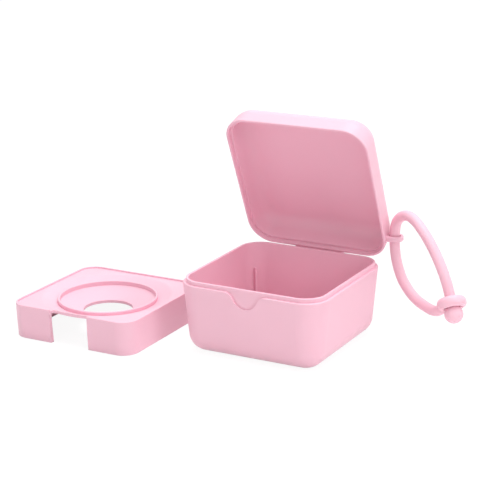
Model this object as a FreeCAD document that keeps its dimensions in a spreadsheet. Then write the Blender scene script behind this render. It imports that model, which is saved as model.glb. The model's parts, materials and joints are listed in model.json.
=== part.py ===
import FreeCAD, Part
import math
import os
import Sketcher
from FreeCAD import Placement, Rotation, Vector

# Pacifier case: a square, softly rounded box with a hinged lid, a removable insert tray
# and an elastic strap looped through an eyelet on the lid.
# Frame: origin in the middle of the base's foot, X to the right, Y to the hinge, Z up.
# Lengths are millimetres and angles are degrees.

DRIVING_SIZES = {
    # plan of base and lid
    "case_width": 75.0,
    "corner_radius": 12.2,
    # base
    "base_height": 34.0,
    "base_draft": 5.4,
    "foot_radius": 8.8,
    "floor_thickness": 2.0,
    "ledge_width": 1.4,
    "lip_height": 2.0,
    "lip_thickness": 1.3,
    "lip_edge_round": 0.4,
    "ledge_edge_round": 0.5,
    "cavity_draft": 3.0,
    "cavity_floor_radius": 6.5,
    # thumb notch and snap bead on the front
    "notch_width": 22.0,
    "notch_depth": 7.3,
    "notch_radius": 6.9,
    "bead_length": 7.5,
    "bead_height": 1.4,
    "bead_depth": 0.2,
    "bead_clearance": 0.12,
    # corner ribs that carry the tray
    "rib_top": 22.9,
    "rib_width": 0.9,
    "rib_depth": 2.0,
    # lid
    "lid_gap": 0.2,
    "lid_height": 15.5,
    "lid_draft": 4.0,
    "lid_edge_radius": 9.0,
    "lid_wall": 2.2,
    "lid_top_thickness": 1.8,
    "lid_inner_radius": 6.5,
    "rim_edge_round": 0.45,
    "lip_headroom": 0.4,
    "lid_opening": 66.5,
    # hinge
    "hinge_setback": 1.6,
    "hinge_drop": 1.6,
    "pin_radius": 1.0,
    "pin_clearance": 0.08,
    "pin_length": 2.7,
    "ear_wall": 0.92,
    "ear_thickness": 3.0,
    "ear_drop": 6.0,
    "knuckle_radius": 1.5,
    "knuckle_length": 26.0,
    "knuckle_gap": 0.25,
    "hinge_web_height": 5.0,
    # eyelet on the lid's right wall
    "eyelet_from_hinge": 11.6,
    "eyelet_rise": 5.0,
    "eyelet_reach": 2.8,
    "eyelet_hole_radius": 2.85,
    "eyelet_wall": 1.4,
    "eyelet_thickness": 2.7,
    "eyelet_round": 0.65,
    "eyelet_angle": 23.5,
    # insert tray
    "tray_width": 69.0,
    "tray_corner_radius": 8.5,
    "tray_height": 15.95,
    "tray_crease": 8.3,
    "tray_upper_draft": 1.0,
    "tray_lower_draft": 3.2,
    "tray_wall": 1.8,
    "plate_thickness": 1.4,
    "tray_rim_width": 0.9,
    "tray_rim_height": 0.75,
    "ring_wall": 1.0,
    "ring_height": 1.85,
    "ring_edge_round": 0.35,
    "tray_edge_round": 0.25,
    "dish_margin": 1.8,
    "dish_rim_width": 7.2,
    "dish_depth": 7.15,
    "dish_edge_radius": 6.0,
    "teat_hole_radius": 12.2,
    "cut_width": 21.4,
    "cut_depth": 2.9,
    "cut_corner_radius": 1.4,
    "tray_x": -86.4,
    "tray_y": -19.7,
    # strap
    "cord_diameter": 5.0,
    "eye_clearance": 0.2,
    "eye_tube_radius": 2.1,
    "eye_height": 5.2,
    "ball_radius": 4.4,
    "ball_seat": 0.8,
    "eye_from_ball": 5.2,
    "strap_lean": -30.0,
}

DERIVED_SIZES = {
    "foot_inset": "=base_height * tan(base_draft)",
    "foot_width": "=case_width - 2 * foot_inset",
    "foot_corner_radius": "=corner_radius - foot_inset",
    "foot_round": "=min(foot_radius; foot_corner_radius - 0.2)",
    "lip_width": "=case_width - 2 * ledge_width",
    "lip_radius": "=corner_radius - ledge_width",
    "lip_face": "=lip_width / 2",
    "lip_top": "=base_height + lip_height",
    "lip_round": "=min(lip_edge_round; 0.45 * lip_thickness)",
    "ledge_round": "=min(ledge_edge_round; 0.45 * ledge_width)",
    "mouth_width": "=lip_width - 2 * lip_thickness",
    "mouth_radius": "=lip_radius - lip_thickness",
    "floor_inset": "=(lip_top - floor_thickness) * tan(cavity_draft)",
    "cavity_floor_width": "=mouth_width - 2 * floor_inset",
    "floor_corner_radius": "=mouth_radius - floor_inset",
    "floor_round": "=min(cavity_floor_radius; floor_corner_radius - 0.2)",
    "notch_shoulder": "=(notch_width * notch_width / 4 + notch_depth * notch_depth)"
                      " / (2 * notch_depth) - notch_radius",
    "notch_reach": "=4 * ledge_width",
    "bead_top": "=lip_top - bead_depth",
    "bead_bottom": "=bead_top - bead_height",
    "lip_clearance": "=bead_depth + bead_clearance",
    "rib_top_outer": "=(mouth_width / 2 - mouth_radius) * sqrt(2) + mouth_radius"
                     " - (lip_top - rib_top) * tan(cavity_draft) + lip_thickness / 2",
    "rib_top_inner": "=rib_top_outer - lip_thickness / 2 - rib_depth",
    "rib_knee": "=floor_thickness + floor_round",
    "rib_knee_inner": "=rib_top_inner - (rib_top - rib_knee) * tan(cavity_draft)",
    "rib_knee_outer": "=rib_top_outer - (rib_top - rib_knee) * tan(cavity_draft)",
    "rib_foot": "=floor_thickness + 0.2 * floor_round",
    "rib_foot_inner": "=rib_top_inner - (rib_top - rib_foot) * tan(cavity_draft)",
    "rib_foot_outer": "=rib_foot_inner + 0.35 * rib_depth",
    "rim_level": "=base_height + lid_gap",
    "lid_top": "=rim_level + lid_height",
    "lid_inset": "=lid_height * tan(lid_draft)",
    "lid_top_width": "=case_width - 2 * lid_inset",
    "lid_top_radius": "=corner_radius - lid_inset",
    "lid_round": "=min(lid_edge_radius; lid_top_radius - 0.2)",
    "rabbet_width": "=lip_width + 2 * lip_clearance",
    "rabbet_radius": "=lip_radius + lip_clearance",
    "rim_round": "=min(rim_edge_round; 0.22 * (case_width - rabbet_width))",
    "rabbet_depth": "=lip_height - lid_gap + lip_headroom",
    "lid_mouth_width": "=case_width - 2 * lid_wall",
    "lid_mouth_radius": "=corner_radius - lid_wall",
    "lid_ceiling": "=lid_top - lid_top_thickness",
    "ceiling_inset": "=(lid_height - lid_top_thickness) * tan(lid_draft)",
    "ceiling_width": "=lid_mouth_width - 2 * ceiling_inset",
    "ceiling_radius": "=lid_mouth_radius - ceiling_inset",
    "ceiling_round": "=min(lid_inner_radius; ceiling_radius - 0.2)",
    "hinge_y": "=case_width / 2 + hinge_setback",
    "hinge_z": "=base_height - hinge_drop",
    "pin_hole_radius": "=pin_radius + pin_clearance",
    "ear_radius": "=pin_hole_radius + ear_wall",
    "ear_inside": "=knuckle_length / 2 + knuckle_gap",
    "ear_root_top": "=hinge_z - pin_radius",
    "ear_root_bottom": "=hinge_z - ear_drop",
    "pin_span": "=knuckle_length + 2 * pin_length",
    "web_root": "=(case_width + rabbet_width) / 4",
    "web_behind": "=case_width / 2 + 2 * lid_gap",
    "web_tip": "=hinge_y + knuckle_radius",
    "web_top": "=rim_level + hinge_web_height",
    "web_top_root": "=web_root - hinge_web_height * tan(lid_draft)",
    "eyelet_x": "=case_width / 2 + eyelet_reach",
    "eyelet_y": "=hinge_y - eyelet_from_hinge",
    "eyelet_z": "=rim_level + eyelet_rise",
    "eyelet_radius": "=eyelet_hole_radius + eyelet_wall",
    "eyelet_edge": "=min(eyelet_round; 0.45 * eyelet_wall; 0.45 * eyelet_thickness)",
    "eyelet_root_low": "=(case_width + rabbet_width) / 4",
    "eyelet_root_high": "=eyelet_root_low - 2 * eyelet_radius * (tan(lid_draft) + 0.4 * sin(eyelet_angle))",
    "crease_inset": "=(tray_height - tray_crease) * tan(tray_upper_draft)",
    "tray_foot_inset": "=crease_inset + tray_crease * tan(tray_lower_draft)",
    "crease_width": "=tray_width - 2 * crease_inset",
    "crease_radius": "=tray_corner_radius - crease_inset",
    "tray_foot_width": "=tray_width - 2 * tray_foot_inset",
    "tray_foot_radius": "=tray_corner_radius - tray_foot_inset",
    "tray_ceiling": "=tray_height - plate_thickness",
    "tray_ceiling_width": "=tray_width - 2 * tray_wall",
    "tray_ceiling_radius": "=tray_corner_radius - tray_wall",
    "inner_crease_width": "=crease_width - 2 * tray_wall",
    "inner_crease_radius": "=crease_radius - tray_wall",
    "tray_mouth_width": "=tray_foot_width - 2 * tray_wall",
    "tray_mouth_radius": "=tray_foot_radius - tray_wall",
    "tray_rim_inner_width": "=tray_width - 2 * tray_rim_width",
    "tray_rim_inner_radius": "=tray_corner_radius - tray_rim_width",
    "tray_rim_top": "=tray_height + tray_rim_height",
    "dish_radius": "=tray_rim_inner_width / 2 - dish_margin",
    "ring_radius": "=dish_radius - dish_rim_width",
    "ring_inner_radius": "=ring_radius - ring_wall",
    "ring_round": "=min(ring_edge_round; 0.45 * ring_wall)",
    "tray_rim_round": "=min(tray_edge_round; 0.45 * tray_rim_width; 0.45 * tray_rim_height)",
    "dish_floor": "=tray_height - dish_depth",
    "dish_underside": "=dish_floor - plate_thickness",
    "dish_slope": "=dish_depth / (dish_radius - teat_hole_radius)",
    "dish_root": "=dish_radius + plate_thickness / 2",
    "dish_edge": "=min(dish_edge_radius; 4 * (tray_rim_inner_width / 2 - dish_radius))",
    "ring_foot": "=dish_floor + (ring_radius - teat_hole_radius) * dish_slope",
    "ring_inner_foot": "=ring_foot - ring_wall * dish_slope",
    "ring_top": "=ring_foot + ring_height",
    "cut_face": "=tray_width / 2 - cut_depth",
    "cut_reach": "=tray_width / 2 + tray_wall",
    "cord_radius": "=cord_diameter / 2",
    "eye_radius": "=cord_radius + eye_clearance + eye_tube_radius",
}

# Route of the strap's cord in the plane of its loop: along the lean, along the eyelet's
# hole, and off the plane. It starts in the eye and ends in the ball.
STRAP_ROUTE = [
    (40.2, -23.2, 0.3),
    (37.0, -26.2, 0.2),
    (31.4, -28.4, 0.0),
    (24.6, -27.8, 0.0),
    (17.6, -26.5, 0.0),
    (11.4, -23.4, 0.0),
    (6.4, -19.4, 0.0),
    (2.4, -13.2, 0.0),
    (0.0, -5.6, 0.0),
    (-0.1, 5.9, 0.0),
    (3.2, 11.0, 0.0),
    (9.5, 13.8, 0.0),
    (16.0, 12.4, 0.0),
    (23.4, 7.7, 0.0),
    (31.0, 1.0, 0.0),
    (38.2, -7.8, 0.0),
    (41.8, -17.0, -0.9),
    (45.1, -22.0, 0.1),
]
ARC_SHARE = 0.48

# Nearness within which two places count as one.
CLOSE = 1e-3


# Document and sheet

doc = FreeCAD.newDocument("PacifierCase")
sheet = doc.addObject("Spreadsheet::Sheet", "sizes")
for row, (alias, cell) in enumerate({**DRIVING_SIZES, **DERIVED_SIZES}.items(), start=1):
    sheet.set(f"A{row}", alias)
    sheet.set(f"B{row}", str(cell))
    sheet.setAlias(f"B{row}", alias)
doc.recompute()


def size(alias):
    """Value of one cell of the sheet."""
    return float(getattr(sheet, alias))


def bind(feature, path, alias):
    feature.setExpression(path, f"sizes.{alias}")


# Sketches

def origin_plane(body, role):
    return next(face for face in body.Origin.OriginFeatures if face.Role == role)


def new_sketch(body, name, plane="XY_Plane", offset=None, turn=0):
    """Sketch on one of the body's own origin planes, moved along its normal by a cell."""
    sketch = body.newObject("Sketcher::SketchObject", name)
    sketch.AttachmentSupport = [(origin_plane(body, plane), "")]
    sketch.MapMode = "FlatFace"
    sketch.AttachmentOffset = Placement(Vector(0, 0, 0), Rotation(Vector(0, 0, 1), turn))
    if offset:
        sketch.setExpression("AttachmentOffset.Base.z", offset)
    return sketch


def constrain(sketch, *constraint):
    return sketch.addConstraint(Sketcher.Constraint(*constraint))


def dimension(sketch, alias, kind, *places):
    """Dimensional constraint bound to a cell; places are geometry and point numbers."""
    index = constrain(sketch, kind, *places, size(alias))
    bind(sketch, f"Constraints[{index}]", alias)


def place_point(sketch, geometry, point, across, up):
    """Fix a point at two cells from the sketch's origin; None puts it on that axis."""
    if across:
        dimension(sketch, across, "DistanceX", -1, 1, geometry, point)
    else:
        constrain(sketch, "PointOnObject", geometry, point, -2)
    if up:
        dimension(sketch, up, "DistanceY", -1, 1, geometry, point)
    else:
        constrain(sketch, "PointOnObject", geometry, point, -1)


def join(sketch, geometry):
    """Meet each piece of geometry's end with the next one's start, all the way round."""
    for first, second in zip(geometry, geometry[1:] + geometry[:1]):
        constrain(sketch, "Coincident", first, 2, second, 1)


def draw_rounded_square(sketch, width, radius):
    """Closed outline of a square with rounded corners about the sketch's origin."""
    half = size(width) / 2
    corner = size(radius)
    middle = half - corner
    arcs = []
    for turn, (sx, sy) in enumerate([(1, 1), (-1, 1), (-1, -1), (1, -1)]):
        circle = Part.Circle(Vector(sx * middle, sy * middle), Vector(0, 0, 1), corner)
        start = turn * math.pi / 2
        arcs.append(sketch.addGeometry(Part.ArcOfCircle(circle, start, start + math.pi / 2)))
    sides = []
    for start, end in [((middle, half), (-middle, half)), ((-half, middle), (-half, -middle)),
                       ((-middle, -half), (middle, -half)), ((half, -middle), (half, middle))]:
        sides.append(sketch.addGeometry(Part.LineSegment(Vector(*start), Vector(*end))))
    for turn in range(4):
        constrain(sketch, "Tangent", arcs[turn], 2, sides[turn], 1)
        constrain(sketch, "Tangent", sides[turn], 2, arcs[(turn + 1) % 4], 1)
        constrain(sketch, "Horizontal" if turn % 2 == 0 else "Vertical", sides[turn])
    for turn in range(1, 4):
        constrain(sketch, "Equal", arcs[0], arcs[turn])
    constrain(sketch, "Symmetric", arcs[0], 3, arcs[2], 3, -1, 1)
    dimension(sketch, radius, "Radius", arcs[0])
    dimension(sketch, width, "DistanceX", sides[1], 1, sides[3], 1)
    dimension(sketch, width, "DistanceY", sides[2], 1, sides[0], 1)


def draw_circle(sketch, radius, across=None, up=None):
    centre = Vector(size(across) if across else 0, size(up) if up else 0)
    circle = sketch.addGeometry(Part.Circle(centre, Vector(0, 0, 1), size(radius)))
    place_point(sketch, circle, 3, across, up)
    dimension(sketch, radius, "Radius", circle)


def draw_polygon(sketch, corners):
    """Closed polygon whose corners are pairs of cells."""
    points = [Vector(size(across), size(up)) for across, up in corners]
    lines = [sketch.addGeometry(Part.LineSegment(start, end))
             for start, end in zip(points, points[1:] + points[:1])]
    join(sketch, lines)
    for line, (across, up) in zip(lines, corners):
        place_point(sketch, line, 1, across, up)


def draw_strip(sketch, width, near, far):
    """Rectangle along the sketch's X axis, from one cell to another, centred on the axis."""
    half = size(width) / 2
    corners = [Vector(size(near), -half), Vector(size(far), -half),
               Vector(size(far), half), Vector(size(near), half)]
    lines = [sketch.addGeometry(Part.LineSegment(start, end))
             for start, end in zip(corners, corners[1:] + corners[:1])]
    join(sketch, lines)
    constrain(sketch, "Horizontal", lines[0])
    constrain(sketch, "Horizontal", lines[2])
    constrain(sketch, "Vertical", lines[3])
    constrain(sketch, "Symmetric", lines[1], 1, lines[1], 2, -1)
    dimension(sketch, width, "DistanceY", lines[1], 1, lines[1], 2)
    dimension(sketch, near, "DistanceX", -1, 1, lines[0], 1)
    dimension(sketch, far, "DistanceX", -1, 1, lines[0], 2)


# Features

def finish(feature, removes=None, copied=None):
    """Recompute and see that the feature is sound and adds or removes what it should."""
    base = copied or feature.BaseFeature
    before = base.Shape.Volume if base else 0.0
    doc.recompute()
    if "Invalid" in feature.State or feature.Shape.isNull() or not feature.Shape.isValid():
        raise RuntimeError(f"{feature.Name} failed: {feature.State}")
    gain = feature.Shape.Volume - before
    if removes is not None and (gain > -1e-6 if removes else gain < 1e-6):
        raise RuntimeError(f"{feature.Name} changed the volume by {gain:.3f}")
    return feature


def new_body(label):
    body = doc.addObject("PartDesign::Body", label)
    body.Label = label
    return body


def square_sketch(body, name, level, width, radius):
    sketch = new_sketch(body, name, offset=level)
    draw_rounded_square(sketch, width, radius)
    return sketch


def loft(body, name, sketches, remove=False):
    kind = "PartDesign::SubtractiveLoft" if remove else "PartDesign::AdditiveLoft"
    feature = body.newObject(kind, name)
    feature.Profile = sketches[0]
    feature.Sections = sketches[1:]
    feature.Ruled = True
    return finish(feature, removes=remove)


def prism(body, name, sketch, length, remove=False, both_ways=False, reverse=False):
    """Pad or pocket of a sketch, as long as a cell says."""
    feature = body.newObject("PartDesign::Pocket" if remove else "PartDesign::Pad", name)
    feature.Profile = sketch
    feature.Midplane = both_ways
    feature.Reversed = reverse
    bind(feature, "Length", length)
    return finish(feature, removes=remove)


def round_edges(body, name, base, edges, radius):
    feature = body.newObject("PartDesign::Fillet", name)
    feature.Base = (base, edges)
    bind(feature, "Radius", radius)
    return finish(feature)


def mirror(body, name, original, plane, removes):
    feature = body.newObject("PartDesign::Mirrored", name)
    feature.Originals = [original]
    feature.MirrorPlane = (origin_plane(body, plane), [""])
    body.Tip = feature
    return finish(feature, removes, original)


def edges_where(shape, test):
    return [f"Edge{i}" for i, edge in enumerate(shape.Edges, start=1) if test(edge)]


def level_edges(shape, level, beyond=-1.0, within=math.inf):
    """Names of the edges that lie flat at one height and reach out between two half-widths."""
    def chosen(edge):
        box = edge.BoundBox
        flat = abs(box.ZMin - level) + abs(box.ZMax - level) < CLOSE
        reach = max(abs(box.XMin), abs(box.XMax), abs(box.YMin), abs(box.YMax))
        return flat and beyond + CLOSE < reach < within + CLOSE

    return edges_where(shape, chosen)


# Base: a moulded box with a lip for the lid, a thumb notch, tray ribs and hinge ears

def draw_notch(sketch):
    """Outline of the thumb notch: a round bottom between two rounded shoulders."""
    half = size("notch_width") / 2
    top = size("base_height")
    shoulder = size("notch_shoulder")
    bottom_centre = Vector(0, top - size("notch_depth") + size("notch_radius"))
    left_centre = Vector(-half, top - shoulder)
    right_centre = Vector(half, top - shoulder)
    lean = math.atan2(bottom_centre.y - left_centre.y, half)
    up = Vector(0, 0, 1)
    left = sketch.addGeometry(Part.ArcOfCircle(
        Part.Circle(left_centre, up, shoulder), lean, math.pi / 2))
    bottom = sketch.addGeometry(Part.ArcOfCircle(
        Part.Circle(bottom_centre, up, size("notch_radius")), math.pi + lean, 2 * math.pi - lean))
    right = sketch.addGeometry(Part.ArcOfCircle(
        Part.Circle(right_centre, up, shoulder), math.pi / 2, math.pi - lean))
    above = size("lip_top")
    corners = [Vector(half, top), Vector(half, above), Vector(-half, above), Vector(-half, top)]
    rise, across, fall = [sketch.addGeometry(Part.LineSegment(start, end))
                          for start, end in zip(corners, corners[1:])]
    constrain(sketch, "Tangent", left, 1, bottom, 1)
    constrain(sketch, "Tangent", bottom, 2, right, 2)
    constrain(sketch, "Coincident", right, 1, rise, 1)
    constrain(sketch, "Coincident", rise, 2, across, 1)
    constrain(sketch, "Coincident", across, 2, fall, 1)
    constrain(sketch, "Coincident", fall, 2, left, 2)
    constrain(sketch, "Vertical", rise)
    constrain(sketch, "Vertical", fall)
    constrain(sketch, "Horizontal", across)
    constrain(sketch, "Vertical", right, 1, right, 3)
    constrain(sketch, "Vertical", left, 2, left, 3)
    constrain(sketch, "Symmetric", left, 2, right, 1, -2)
    dimension(sketch, "notch_width", "DistanceX", left, 2, right, 1)
    dimension(sketch, "base_height", "DistanceY", -1, 1, right, 1)
    dimension(sketch, "lip_top", "DistanceY", -1, 1, across, 1)
    dimension(sketch, "notch_shoulder", "Radius", right)
    dimension(sketch, "notch_shoulder", "Radius", left)
    dimension(sketch, "notch_radius", "Radius", bottom)


def draw_ear(sketch):
    """Side view of a hinge ear: a round eye about the pin, with two flanks to the wall."""
    axis = Vector(size("hinge_y"), size("hinge_z"))
    radius = size("ear_radius")
    top = Vector(size("lip_face"), size("ear_root_top"))
    bottom = Vector(size("lip_face"), size("ear_root_bottom"))

    def touch(root, side):
        reach = root.sub(axis)
        return math.atan2(reach.y, reach.x) + side * math.acos(radius / reach.Length)

    shape = Part.ArcOfCircle(Part.Circle(axis, Vector(0, 0, 1), radius),
                             touch(bottom, 1), touch(top, -1) + 2 * math.pi)
    arc = sketch.addGeometry(shape)
    upper = sketch.addGeometry(Part.LineSegment(shape.EndPoint, top))
    wall = sketch.addGeometry(Part.LineSegment(top, bottom))
    lower = sketch.addGeometry(Part.LineSegment(bottom, shape.StartPoint))
    constrain(sketch, "Tangent", arc, 2, upper, 1)
    constrain(sketch, "Coincident", upper, 2, wall, 1)
    constrain(sketch, "Coincident", wall, 2, lower, 1)
    constrain(sketch, "Tangent", lower, 2, arc, 1)
    place_point(sketch, arc, 3, "hinge_y", "hinge_z")
    dimension(sketch, "ear_radius", "Radius", arc)
    place_point(sketch, wall, 1, "lip_face", "ear_root_top")
    place_point(sketch, wall, 2, "lip_face", "ear_root_bottom")
    draw_circle(sketch, "pin_hole_radius", "hinge_y", "hinge_z")


def make_base():
    body = new_body("base_box")
    foot = square_sketch(body, "FootOutline", None, "foot_width", "foot_corner_radius")
    ledge = square_sketch(body, "LedgeOutline", "sizes.base_height", "case_width", "corner_radius")
    loft(body, "OuterWall", [foot, ledge])
    lip = square_sketch(body, "LipOutline", "sizes.base_height", "lip_width", "lip_radius")
    prism(body, "Lip", lip, "lip_height")

    mouth = square_sketch(body, "MouthOutline", "sizes.lip_top", "mouth_width", "mouth_radius")
    floor = square_sketch(body, "FloorOutline", "sizes.floor_thickness",
                          "cavity_floor_width", "floor_corner_radius")
    cavity = loft(body, "Cavity", [mouth, floor], remove=True)
    inside = round_edges(body, "FloorRound", cavity,
                         level_edges(cavity.Shape, size("floor_thickness")), "floor_round")
    outside = round_edges(body, "FootRound", inside, level_edges(inside.Shape, 0), "foot_round")
    lip_edges = level_edges(outside.Shape, size("lip_top"))
    topped = round_edges(body, "LipRound", outside, lip_edges, "lip_round")
    ledge_edges = level_edges(topped.Shape, size("base_height"), beyond=size("lip_face"))
    round_edges(body, "LedgeRound", topped, ledge_edges, "ledge_round")

    notch = new_sketch(body, "NotchOutline", "XZ_Plane", "sizes.lip_face")
    draw_notch(notch)
    prism(body, "ThumbNotch", notch, "notch_reach", remove=True, reverse=True)

    bead = new_sketch(body, "BeadOutline", "XZ_Plane", "sizes.lip_face", turn=90)
    draw_strip(bead, "bead_length", "bead_bottom", "bead_top")
    prism(body, "SnapBead", bead, "bead_depth")

    sections = []
    for name, level in (("RibFoot", "rib_foot"), ("RibKnee", "rib_knee"), ("RibHead", "rib_top")):
        sections.append(new_sketch(body, name, offset=f"sizes.{level}", turn=45))
        draw_strip(sections[-1], "rib_width", f"{level}_inner", f"{level}_outer")
    rib = loft(body, "Rib", sections)
    ribs = body.newObject("PartDesign::PolarPattern", "Ribs")
    ribs.Originals = [rib]
    ribs.Axis = (origin_plane(body, "Z_Axis"), [""])
    ribs.Angle = 360
    ribs.Occurrences = 4
    body.Tip = ribs
    finish(ribs, removes=False, copied=rib)

    ear = new_sketch(body, "EarOutline", "YZ_Plane", "sizes.ear_inside")
    draw_ear(ear)
    mirror(body, "EarPair", prism(body, "Ear", ear, "ear_thickness"), "YZ_Plane", removes=False)
    return body


# Lid: a shallow shell with a rabbet round its rim, a hinge knuckle and the strap's eyelet,
# drawn shut on the base and then turned open about the hinge

def draw_eyelet(sketch):
    """Eyelet seen along its hole: a lug from the wall, round at its end, with the hole."""
    x, radius = size("eyelet_x"), size("eyelet_radius")
    low = Vector(size("eyelet_root_low"), -radius)
    high = Vector(size("eyelet_root_high"), radius)
    end = sketch.addGeometry(Part.ArcOfCircle(
        Part.Circle(Vector(x, 0), Vector(0, 0, 1), radius), -math.pi / 2, math.pi / 2))
    over = sketch.addGeometry(Part.LineSegment(Vector(x, radius), high))
    root = sketch.addGeometry(Part.LineSegment(high, low))
    under = sketch.addGeometry(Part.LineSegment(low, Vector(x, -radius)))
    constrain(sketch, "Tangent", end, 2, over, 1)
    constrain(sketch, "Coincident", over, 2, root, 1)
    constrain(sketch, "Coincident", root, 2, under, 1)
    constrain(sketch, "Tangent", under, 2, end, 1)
    constrain(sketch, "Horizontal", over)
    constrain(sketch, "Horizontal", under)
    place_point(sketch, end, 3, "eyelet_x", None)
    dimension(sketch, "eyelet_radius", "Radius", end)
    dimension(sketch, "eyelet_root_high", "DistanceX", -1, 1, root, 1)
    dimension(sketch, "eyelet_root_low", "DistanceX", -1, 1, root, 2)
    draw_circle(sketch, "eyelet_hole_radius", "eyelet_x")


def make_lid():
    body = new_body("lid")
    rim = square_sketch(body, "RimOutline", "sizes.rim_level", "case_width", "corner_radius")
    top = square_sketch(body, "TopOutline", "sizes.lid_top", "lid_top_width", "lid_top_radius")
    loft(body, "LidWall", [rim, top])
    mouth = square_sketch(body, "LidMouth", "sizes.rim_level", "lid_mouth_width", "lid_mouth_radius")
    ceiling = square_sketch(body, "LidCeiling", "sizes.lid_ceiling", "ceiling_width", "ceiling_radius")
    hollow = loft(body, "LidHollow", [mouth, ceiling], remove=True)
    inside = round_edges(body, "CeilingRound", hollow,
                         level_edges(hollow.Shape, size("lid_ceiling")), "ceiling_round")
    shell = round_edges(body, "TopRound", inside, level_edges(inside.Shape, size("lid_top")), "lid_round")
    rim_edges = level_edges(shell.Shape, size("rim_level"), beyond=size("lid_mouth_width") / 2)
    round_edges(body, "RimRound", shell, rim_edges, "rim_round")
    rabbet = square_sketch(body, "RabbetOutline", "sizes.rim_level", "rabbet_width", "rabbet_radius")
    prism(body, "Rabbet", rabbet, "rabbet_depth", remove=True, reverse=True)

    web = new_sketch(body, "HingeWebOutline", "YZ_Plane")
    draw_polygon(web, [("web_root", "rim_level"), ("web_behind", "rim_level"), ("hinge_y", "hinge_z"),
                       ("web_tip", "hinge_z"), ("web_top_root", "web_top")])
    prism(body, "HingeWeb", web, "knuckle_length", both_ways=True)
    for name, radius, length in (("Knuckle", "knuckle_radius", "knuckle_length"),
                                 ("Pins", "pin_radius", "pin_span")):
        circle = new_sketch(body, name + "Outline", "YZ_Plane")
        draw_circle(circle, radius, "hinge_y", "hinge_z")
        prism(body, name, circle, length, both_ways=True)

    lug = new_sketch(body, "EyeletOutline", "XZ_Plane", "-sizes.eyelet_y")
    lug.AttachmentOffset = Placement(Vector(0, 0, 0), Rotation(Vector(1, 0, 0), -size("eyelet_angle")))
    bind(lug, "AttachmentOffset.Base.y", "eyelet_z")
    draw_eyelet(lug)
    eyelet = prism(body, "Eyelet", lug, "eyelet_thickness", both_ways=True)

    def on_outline(edge):
        along = eyelet_tilt.inverted().multVec(edge.CenterOfMass.sub(eyelet_centre)).y
        on_face = abs(abs(along) - size("eyelet_thickness") / 2) < CLOSE
        return on_face and edge.BoundBox.XMax > size("case_width") / 2

    round_edges(body, "EyeletRound", eyelet, edges_where(eyelet.Shape, on_outline), "eyelet_edge")
    body.Placement = lid_pose
    return body


# Insert tray: an upturned shell with a ringed dish for the pacifier's shield

def draw_cut(sketch):
    """Plan of the cut through the tray's front, with rounded inner corners."""
    half, face = size("cut_width") / 2, size("cut_face")
    reach, radius = size("cut_reach"), size("cut_corner_radius")
    up = Vector(0, 0, 1)
    right = sketch.addGeometry(Part.LineSegment(Vector(half, reach), Vector(half, face + radius)))
    right_arc = sketch.addGeometry(Part.ArcOfCircle(
        Part.Circle(Vector(half - radius, face + radius), up, radius), -math.pi / 2, 0))
    inner = sketch.addGeometry(Part.LineSegment(Vector(half - radius, face), Vector(radius - half, face)))
    left_arc = sketch.addGeometry(Part.ArcOfCircle(
        Part.Circle(Vector(radius - half, face + radius), up, radius), math.pi, 3 * math.pi / 2))
    left = sketch.addGeometry(Part.LineSegment(Vector(-half, face + radius), Vector(-half, reach)))
    outer = sketch.addGeometry(Part.LineSegment(Vector(-half, reach), Vector(half, reach)))
    constrain(sketch, "Tangent", right, 2, right_arc, 2)
    constrain(sketch, "Tangent", right_arc, 1, inner, 1)
    constrain(sketch, "Tangent", inner, 2, left_arc, 2)
    constrain(sketch, "Tangent", left_arc, 1, left, 1)
    constrain(sketch, "Coincident", left, 2, outer, 1)
    constrain(sketch, "Coincident", outer, 2, right, 1)
    constrain(sketch, "Vertical", right)
    constrain(sketch, "Vertical", left)
    constrain(sketch, "Horizontal", inner)
    constrain(sketch, "Symmetric", outer, 1, outer, 2, -2)
    constrain(sketch, "Equal", right_arc, left_arc)
    dimension(sketch, "cut_corner_radius", "Radius", right_arc)
    dimension(sketch, "cut_width", "DistanceX", outer, 1, outer, 2)
    dimension(sketch, "cut_reach", "DistanceY", -1, 1, outer, 2)
    dimension(sketch, "cut_face", "DistanceY", -1, 1, inner, 1)


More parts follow.
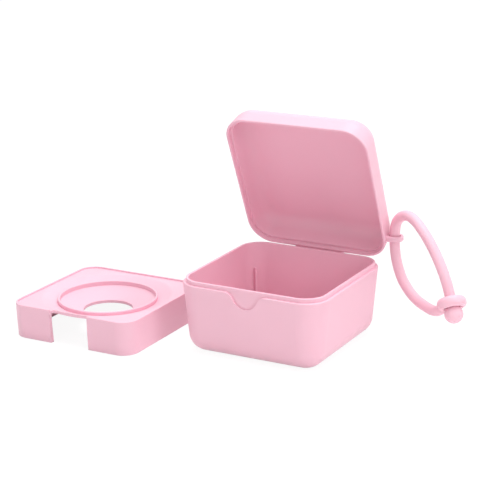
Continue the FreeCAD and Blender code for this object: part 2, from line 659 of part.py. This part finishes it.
def make_tray():
    body = new_body("insert_tray")
    outside = [("TrayFoot", None, "tray_foot_width", "tray_foot_radius"),
               ("TrayCrease", "sizes.tray_crease", "crease_width", "crease_radius"),
               ("TrayPlate", "sizes.tray_height", "tray_width", "tray_corner_radius")]
    inside = [("TrayMouth", None, "tray_mouth_width", "tray_mouth_radius"),
              ("InnerCrease", "sizes.tray_crease", "inner_crease_width", "inner_crease_radius"),
              ("TrayCeiling", "sizes.tray_ceiling", "tray_ceiling_width", "tray_ceiling_radius")]
    loft(body, "TrayWall", [square_sketch(body, *section) for section in outside])
    loft(body, "TrayHollow", [square_sketch(body, *section) for section in inside], remove=True)
    rim = square_sketch(body, "TrayRim", "sizes.tray_height", "tray_width", "tray_corner_radius")
    draw_rounded_square(rim, "tray_rim_inner_width", "tray_rim_inner_radius")
    edged = prism(body, "EdgeRim", rim, "tray_rim_height")
    rim_edges = level_edges(edged.Shape, size("tray_rim_top"))
    round_edges(body, "EdgeRimRound", edged, rim_edges, "tray_rim_round")

    opening = new_sketch(body, "DishOpening", offset="sizes.tray_height")
    draw_circle(opening, "dish_radius")
    prism(body, "DishHole", opening, "dish_depth", remove=True)
    section = new_sketch(body, "DishSection", "XZ_Plane")
    draw_polygon(section, [("dish_radius", "tray_height"), ("ring_radius", "ring_foot"),
                           ("ring_radius", "ring_top"), ("ring_inner_radius", "ring_top"),
                           ("ring_inner_radius", "ring_inner_foot"), ("teat_hole_radius", "dish_floor"),
                           ("teat_hole_radius", "dish_underside"), ("dish_root", "tray_ceiling")])
    dish = body.newObject("PartDesign::Revolution", "RingAndDish")
    dish.Profile = section
    dish.ReferenceAxis = (section, ["V_Axis"])
    dish.Angle = 360
    finish(dish, removes=False)
    ring = round_edges(body, "RingRound", dish, level_edges(dish.Shape, size("ring_top")), "ring_round")
    mouth = level_edges(ring.Shape, size("tray_height"), within=size("dish_radius"))
    round_edges(body, "DishRound", ring, mouth, "dish_edge")

    cut = new_sketch(body, "CutOutline", offset="sizes.tray_rim_top", turn=180)
    draw_cut(cut)
    prism(body, "FrontCut", cut, "tray_rim_top", remove=True)
    body.Placement = Placement(Vector(size("tray_x"), size("tray_y"), 0), Rotation())
    return body


# Strap: one elastic loop of round cord with an eye at one end and a ball at the other

def fillet_route(points):
    """Straight runs and tangent arcs along the points: edges, bend radii and length."""
    edges, radii = [], []
    start = points[0]
    for before, corner, after in zip(points, points[1:], points[2:]):
        back = before.sub(corner)
        ahead = after.sub(corner)
        cut = ARC_SHARE * min(back.Length, ahead.Length)
        turn = math.pi - back.getAngle(ahead)
        radii.append(cut / math.tan(turn / 2))
        back.normalize()
        ahead.normalize()
        entry, leave = corner + back * cut, corner + ahead * cut
        bisector = (back + ahead).normalize()
        reach = radii[-1] / math.cos(turn / 2) - radii[-1]
        edges.append(Part.LineSegment(start, entry).toShape())
        edges.append(Part.Arc(entry, corner + bisector * reach, leave).toShape())
        start = leave
    edges.append(Part.LineSegment(start, points[-1]).toShape())
    return edges, radii, sum(edge.Length for edge in edges)


def make_strap():
    points = [Vector(*point) for point in STRAP_ROUTE]
    edges, radii, length = fillet_route(points)
    radius = size("cord_radius")
    heading = points[1].sub(points[0])
    section = Part.Wire(Part.Circle(points[0], heading, radius).toShape())
    cord = doc.addObject("Part::Feature", "strap_cord")
    cord.Label = "strap_cord"
    cord.Shape = Part.Wire(edges).makePipeShell([section], True, False)
    expected = math.pi * radius ** 2 * length
    print(f"cord length {length:.1f}, volume {cord.Shape.Volume:.1f}, section x length {expected:.1f}")
    print("bend radii", " ".join(f"{bend:.1f}" for bend in radii))

    run = points[-1].sub(points[-2]).normalize()
    ball_centre = points[-1] + run * (size("ball_radius") - size("ball_seat"))
    ball = doc.addObject("Part::Sphere", "strap_ball")
    ball.Label = "strap_ball"
    bind(ball, "Radius", "ball_radius")
    eye = doc.addObject("Part::Feature", "strap_eye")
    eye.Label = "strap_eye"
    middle = Vector(size("eye_radius"), 0, 0)
    oval = Part.Ellipse(middle + Vector(0, 0, size("eye_height") / 2),
                        middle + Vector(size("eye_tube_radius"), 0, 0), middle)
    eye.Shape = Part.Face(Part.Wire(oval.toShape())).revolve(Vector(0, 0, 0), Vector(0, 0, 1), 360)
    eye_centre = ball_centre - run * size("eye_from_ball")
    cord.Placement = strap_pose
    ball.Placement = strap_pose * Placement(ball_centre, Rotation())
    eye.Placement = strap_pose * Placement(eye_centre, Rotation(Vector(0, 0, 1), run))
    return [cord, eye, ball]


lid_pose = Placement(Vector(0, 0, 0), Rotation(Vector(-1, 0, 0), size("lid_opening")),
                     Vector(0, size("hinge_y"), size("hinge_z")))
eyelet_tilt = Rotation(Vector(-1, 0, 0), size("eyelet_angle"))
eyelet_centre = Vector(size("eyelet_x"), size("eyelet_y"), size("eyelet_z"))
lean = math.radians(size("strap_lean"))
loop_plane = Rotation(Vector(math.cos(lean), 0, math.sin(lean)), Vector(0, -1, 0),
                      Vector(math.sin(lean), 0, -math.cos(lean)), "ZXY")
strap_pose = lid_pose * Placement(eyelet_centre, eyelet_tilt * loop_plane)

sub_parts = [make_base(), make_lid(), make_tray()] + make_strap()
doc.recompute()

for item in doc.Objects:
    if "Invalid" in item.State or "Error" in item.State:
        raise RuntimeError(f"{item.Label} failed: {item.State}")
for item in sub_parts:
    if item.Shape.isNull() or not item.Shape.isValid() or len(item.Shape.Solids) != 1:
        raise RuntimeError(f"{item.Label} isn't one sound solid")

os.makedirs("parts", exist_ok=True)
for item in sub_parts:
    item.Shape.exportStep(f"parts/{item.Label}.step")
    print(item.Label, f"{item.Shape.Volume:.1f}", item.Shape.BoundBox)
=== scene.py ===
import json
from math import cos, pi, radians, sin

import bmesh
import bpy
from mathutils import Matrix, Vector


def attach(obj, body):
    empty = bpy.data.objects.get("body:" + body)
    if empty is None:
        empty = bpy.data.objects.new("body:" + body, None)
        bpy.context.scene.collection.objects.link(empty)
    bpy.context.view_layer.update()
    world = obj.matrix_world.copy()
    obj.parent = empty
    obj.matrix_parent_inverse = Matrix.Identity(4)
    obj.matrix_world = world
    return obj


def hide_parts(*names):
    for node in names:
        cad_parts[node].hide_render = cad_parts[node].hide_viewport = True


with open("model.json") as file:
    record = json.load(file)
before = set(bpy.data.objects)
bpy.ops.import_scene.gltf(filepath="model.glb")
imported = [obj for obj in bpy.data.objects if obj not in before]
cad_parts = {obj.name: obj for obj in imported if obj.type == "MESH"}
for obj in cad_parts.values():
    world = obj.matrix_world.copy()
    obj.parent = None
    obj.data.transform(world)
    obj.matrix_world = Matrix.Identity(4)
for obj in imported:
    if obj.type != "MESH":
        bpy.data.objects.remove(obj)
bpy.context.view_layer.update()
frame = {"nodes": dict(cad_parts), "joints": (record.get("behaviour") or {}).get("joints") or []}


# Base of the case: a square box of pale pink polypropylene, injection-moulded in one
# piece with its lip, thumb notch and hinge ears, and finished in a fine satin grain.

def moulded_plastic(name, colour, grain, roughness):
    """Satin moulded plastic: a faint cloud of tint, and a fine grain in gloss and relief."""
    noise_low, noise_high = 0.3, 0.7
    deeper_tint = [0.975 * channel for channel in colour]
    gloss_swing = 0.05

    material = bpy.data.materials.new(name)
    material.use_nodes = True
    nodes, links = material.node_tree.nodes, material.node_tree.links
    shader = nodes["Principled BSDF"]
    shader.inputs["IOR"].default_value = 1.49
    shader.inputs["Subsurface Weight"].default_value = 0.08
    shader.inputs["Subsurface Radius"].default_value = (1.0, 0.55, 0.6)
    shader.inputs["Subsurface Scale"].default_value = 0.002

    place = nodes.new("ShaderNodeTexCoord")
    cloud = nodes.new("ShaderNodeTexNoise")
    cloud.inputs["Scale"].default_value = 28
    cloud.inputs["Detail"].default_value = 2
    tint = nodes.new("ShaderNodeValToRGB")
    tint.color_ramp.elements[0].position = noise_low
    tint.color_ramp.elements[0].color = [*deeper_tint, 1]
    tint.color_ramp.elements[1].position = noise_high
    tint.color_ramp.elements[1].color = [*colour, 1]
    links.new(place.outputs["Object"], cloud.inputs["Vector"])
    links.new(cloud.outputs["Fac"], tint.inputs["Fac"])
    links.new(tint.outputs["Color"], shader.inputs["Base Color"])

    speckle = nodes.new("ShaderNodeTexNoise")
    speckle.inputs["Scale"].default_value = grain
    speckle.inputs["Detail"].default_value = 3
    gloss = nodes.new("ShaderNodeMapRange")
    gloss.inputs["From Min"].default_value = noise_low
    gloss.inputs["From Max"].default_value = noise_high
    gloss.inputs["To Min"].default_value = roughness - gloss_swing
    gloss.inputs["To Max"].default_value = roughness + gloss_swing
    relief = nodes.new("ShaderNodeBump")
    relief.inputs["Strength"].default_value = 0.12
    relief.inputs["Distance"].default_value = 0.00003
    links.new(place.outputs["Object"], speckle.inputs["Vector"])
    links.new(speckle.outputs["Fac"], gloss.inputs["Value"])
    links.new(gloss.outputs["Result"], shader.inputs["Roughness"])
    links.new(speckle.outputs["Fac"], relief.inputs["Height"])
    links.new(relief.outputs["Normal"], shader.inputs["Normal"])
    return material


def dress(node, material):
    """Give a solid of the frame its finish."""
    mesh = frame["nodes"][node].data
    mesh.materials.clear()
    mesh.materials.append(material)


case_pink = (0.89, 0.525, 0.63)
case_plastic = moulded_plastic("case_plastic", case_pink, grain=2600, roughness=0.42)
dress("base_box", case_plastic)


# Lid: a shallow shell of the same plastic, moulded with its hinge knuckle and the strap's
# eyelet, and clipped into the base's ears so that it turns on its own trunnions.

dress("lid", case_plastic)


# Insert tray: an upturned moulding of the same plastic that carries the pacifier's shield
# in its ringed dish. It lifts out of the base, and stands beside the box.

dress("insert_tray", case_plastic)


# Strap cord: a round loop of pink silicone rubber, threaded through the lid's eyelet and
# moulded in one with its eye and its ball. It is springy, and stands out from the lid.

strap_pink = (0.91, 0.54, 0.64)
strap_rubber = moulded_plastic("strap_rubber", strap_pink, grain=1800, roughness=0.5)

# The route runs from the eye back to the eyelet's hole, and over the top to the ball. Its
# points are in millimetres from the hole: outwards, upwards and to the front.
strap_route = [
    (40.2, -23.2, 0.3), (37.0, -26.2, 0.2), (31.4, -28.4, 0.0), (24.6, -27.8, 0.0),
    (17.6, -26.5, 0.0), (11.4, -23.4, 0.0), (6.4, -19.4, 0.0), (2.4, -13.2, 0.0),
    (0.0, -5.6, 0.0), (-0.1, 5.9, 0.0), (3.2, 11.0, 0.0), (9.5, 13.8, 0.0),
    (16.0, 12.4, 0.0), (23.4, 7.7, 0.0), (31.0, 1.0, 0.0), (38.2, -7.8, 0.0),
    (41.8, -17.0, -0.9), (45.1, -22.0, 0.1),
]
millimetre = 0.001
cord_diameter = 0.005

# The loop stands upright in the eyelet's hole, turned out to the right of the open lid.
strap_swing = next(joint for joint in frame["joints"] if joint["name"] == "strap_swing")
eyelet = Vector(strap_swing["pos_m"])
strap_lean = radians(-30)
outwards = (cos(strap_lean), sin(strap_lean), 0)
upwards = (0, 0, 1)
frontwards = (sin(strap_lean), -cos(strap_lean), 0)
loop_frame = Matrix.Translation(eyelet) @ Matrix((outwards, upwards, frontwards)).transposed().to_4x4()


def in_loop(point):
    """A point of the loop, in millimetres, brought to its place beside the open lid."""
    return loop_frame @ (Vector(point) * millimetre)


curve = bpy.data.curves.new("strap_cord", "CURVE")
curve.dimensions = "3D"
curve.resolution_u = 12
curve.bevel_depth = cord_diameter / 2
curve.bevel_resolution = 8
curve.use_fill_caps = True
spline = curve.splines.new("NURBS")
spline.points.add(len(strap_route) - 1)
for knot, point in zip(spline.points, strap_route):
    knot.co = (*in_loop(point), 1)
spline.order_u = 3
spline.use_endpoint_u = True

# The cord narrows where it runs into the eye, so that it stays inside the collar.
eye_taper = 0.78
spline.points[0].radius = eye_taper

cord = bpy.data.objects.new("cord_loop", curve)
bpy.context.scene.collection.objects.link(cord)
curve.materials.append(strap_rubber)
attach(cord, "strap")
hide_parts("strap_cord")


# Strap eye and ball: a rounded collar at one end of the cord, and at the other the ball
# that is pushed through it to close the loop, all of one moulding with the cord.

dress("strap_eye", strap_rubber)
dress("strap_ball", strap_rubber)


# Floor: a plain white studio sweep of matt paper, wide enough to fill the picture. It lies
# a hair below the box and the tray, so that their undersides don't share its plane.

floor_reach = 4
floor_drop = 0.0002
bm = bmesh.new()
bmesh.ops.create_grid(bm, x_segments=1, y_segments=1, size=floor_reach)
bmesh.ops.translate(bm, verts=bm.verts, vec=(0, 0, -floor_drop))
floor_mesh = bpy.data.meshes.new("studio_floor")
bm.to_mesh(floor_mesh)
bm.free()
floor = bpy.data.objects.new("studio_floor", floor_mesh)
bpy.context.scene.collection.objects.link(floor)

# Looked at, the paper glows an even white that keeps a faint shadow. To the light that
# bounces between it and the case it is plain white paper, with no glow.
paper = bpy.data.materials.new("white_paper")
paper.use_nodes = True
nodes, links = paper.node_tree.nodes, paper.node_tree.links
shader = nodes["Principled BSDF"]
shader.inputs["Roughness"].default_value = 0.9
shader.inputs["Specular IOR Level"].default_value = 0.0
shader.inputs["Emission Color"].default_value = (1, 1, 1, 1)
rays = nodes.new("ShaderNodeLightPath")
straight = nodes.new("ShaderNodeMath")
straight.operation = "MAXIMUM"
seen = nodes.new("ShaderNodeMath")
seen.operation = "MAXIMUM"
glow = nodes.new("ShaderNodeMath")
glow.operation = "MULTIPLY"
glow.inputs[1].default_value = 0.92
sheet = nodes.new("ShaderNodeMix")
sheet.data_type = "RGBA"
sheet.inputs["A"].default_value = (0.86, 0.86, 0.86, 1)
sheet.inputs["B"].default_value = (0.12, 0.12, 0.12, 1)
links.new(rays.outputs["Is Camera Ray"], straight.inputs[0])
links.new(rays.outputs["Is Glossy Ray"], straight.inputs[1])
links.new(straight.outputs[0], seen.inputs[0])
links.new(rays.outputs["Is Transmission Ray"], seen.inputs[1])
links.new(seen.outputs[0], glow.inputs[0])
links.new(seen.outputs[0], sheet.inputs["Factor"])
links.new(glow.outputs[0], shader.inputs["Emission Strength"])
links.new(sheet.outputs["Result"], shader.inputs["Base Color"])
floor_mesh.materials.append(paper)


# Light: a white room, with a large soft lamp overhead, a weaker one to the right, and a
# faint one behind the case that gives its edges a sheen.

world = bpy.data.worlds.new("white_room")
bpy.context.scene.world = world
world.use_nodes = True
room = world.node_tree.nodes["Background"]
room.inputs["Color"].default_value = (1, 1, 1, 1)
room.inputs["Strength"].default_value = 0.68


def soft_lamp(name, place, aim, size, power):
    """A round soft lamp that hangs at its place and shines at its aim."""
    data = bpy.data.lights.new(name, "AREA")
    data.shape = "DISK"
    data.size = size
    data.energy = power
    lamp = bpy.data.objects.new(name, data)
    lamp.location = place
    lamp.rotation_euler = (Vector(aim) - Vector(place)).to_track_quat("-Z", "Y").to_euler()
    bpy.context.scene.collection.objects.link(lamp)


soft_lamp("overhead", place=(0.05, 0.12, 1.1), aim=(-0.02, 0, 0.03), size=0.8, power=9)
soft_lamp("right_fill", place=(1.1, -0.35, 0.55), aim=(0, 0, 0.05), size=0.6, power=3)
soft_lamp("back_sheen", place=(-0.5, 1.1, 0.75), aim=(-0.02, 0, 0.03), size=0.9, power=1.2)


# Camera: the photograph's viewpoint, to the right of the front and a little above the case,
# through a long lens.

standpoint = (0.32543, -0.62552, 0.26173)
azimuth, elevation, roll = radians(29.0792), radians(16.6876), radians(-0.7637)
camera_data = bpy.data.cameras.new("photo_view")
camera_data.sensor_width = 36
camera_data.lens = 117.106
camera = bpy.data.objects.new("photo_view", camera_data)
camera.matrix_world = (
    Matrix.Translation(standpoint) @ Matrix.Rotation(azimuth, 4, "Z")
    @ Matrix.Rotation(pi / 2 - elevation, 4, "X") @ Matrix.Rotation(roll, 4, "Z"))
bpy.context.scene.collection.objects.link(camera)
bpy.context.scene.camera = camera
bpy.context.scene.view_settings.view_transform = "Standard"
